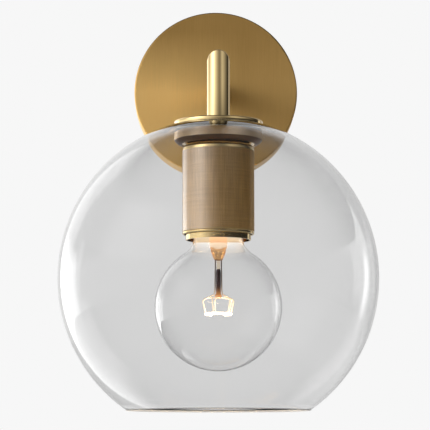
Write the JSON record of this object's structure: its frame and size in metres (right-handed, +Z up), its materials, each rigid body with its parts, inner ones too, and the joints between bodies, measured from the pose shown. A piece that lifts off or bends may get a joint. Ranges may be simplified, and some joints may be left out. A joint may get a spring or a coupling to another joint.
{
  "type": "globe wall sconce",
  "caption": "Wall light with a round brass canopy, a mitred brass arm and an open clear glass globe held by a knurled ring under a brass cap, round a globe bulb.",
  "frame": {"origin": "centre of the canopy's open back, on the wall plane, level with the arm's horizontal run and midway between the two box-screw slots", "axes": "+Y points into the wall, the lamp stands out along -Y, +Z is up and +X is to the right when facing the wall"},
  "size_m": [0.2, 0.236, 0.2738],
  "materials": {
    "aged_brass": "aged, brushed upright, satin",
    "polished_brass": "polished",
    "knurled_brass": "aged, finely knurled",
    "liner_brass": "satin, darkened",
    "zinc_steel": "zinc plated",
    "nickel_brass": "nickel plated",
    "contact_brass": "plain",
    "clear_glass": "clear, blown, fire polished",
    "silicone": "translucent white",
    "porcelain": "glazed white",
    "line_insulation": "black",
    "neutral_insulation": "white",
    "ground_insulation": "green",
    "bulb_glass": "clear, thin",
    "base_aluminium": "rolled thread",
    "base_insulator": "black vitrite, glossy",
    "solder": "dull solder",
    "stem_glass": "pressed lead glass",
    "nickel_wire": "drawn wire",
    "tungsten": "glowing coil"
  },
  "bodies": {
    "fixture": {"canopy": "aged_brass", "mounting_crossbar": "zinc_steel", "canopy_set_screws": "polished_brass", "ground_screw": "zinc_steel", "canopy_nipple": "zinc_steel", "canopy_lock_washer": "zinc_steel", "ground_lug": "contact_brass", "canopy_locknut": "zinc_steel", "arm_tube": "polished_brass", "shade_cap": "polished_brass", "upper_gasket": "silicone", "socket_shell": "knurled_brass", "socket_liner": "liner_brass", "socket_nipple": "zinc_steel", "socket_lock_washer": "zinc_steel", "socket_locknut": "zinc_steel", "socket_bracket": "zinc_steel", "bracket_screws": "zinc_steel", "terminal_screws": "contact_brass", "porcelain_socket": "porcelain", "screw_shell": "nickel_brass", "centre_contact": "contact_brass", "line_terminal": "contact_brass", "neutral_terminal": "nickel_brass", "contact_rivets": "nickel_brass", "line_wire": "line_insulation", "neutral_wire": "neutral_insulation", "ground_wire": "ground_insulation"},
    "shade": {"glass_shade": "clear_glass", "lower_gasket": "silicone"},
    "ring": {"retaining_ring": "knurled_brass"},
    "bulb_end": {"bulb_tip_contact": "solder", "bulb_insulator": "base_insulator"},
    "bulb": {"bulb_envelope": "bulb_glass", "bulb_base_shell": "base_aluminium", "bulb_stem": "stem_glass", "bulb_lead_wires": "nickel_wire", "bulb_support_wires": "nickel_wire", "bulb_filament": "tungsten"}
  },
  "joints": [
    {"name": "shade_slide", "type": "slide", "parent": "fixture", "child": "shade", "axis": [0, 0, -1], "range_m": [0, 0.0075]},
    {"name": "ring_turn", "type": "hinge", "parent": "shade", "child": "ring", "pos_m": [0, -0.136, -0.045], "axis": [0, 0, -1], "range_deg": [0, 1080]},
    {"name": "bulb_slide", "type": "slide", "parent": "fixture", "child": "bulb_end", "axis": [0, 0, -1], "range_m": [0, 0.01814]},
    {"name": "bulb_turn", "type": "hinge", "parent": "bulb_end", "child": "bulb", "pos_m": [0, -0.136, -0.087], "axis": [0, 0, -1], "range_deg": [0, 1800]}
  ],
  "couplings": [
    {"joint": "ring_turn", "follows": "shade_slide", "rad_per_m": 2513.3},
    {"joint": "bulb_turn", "follows": "bulb_slide", "rad_per_m": 1731.4}
  ]
}
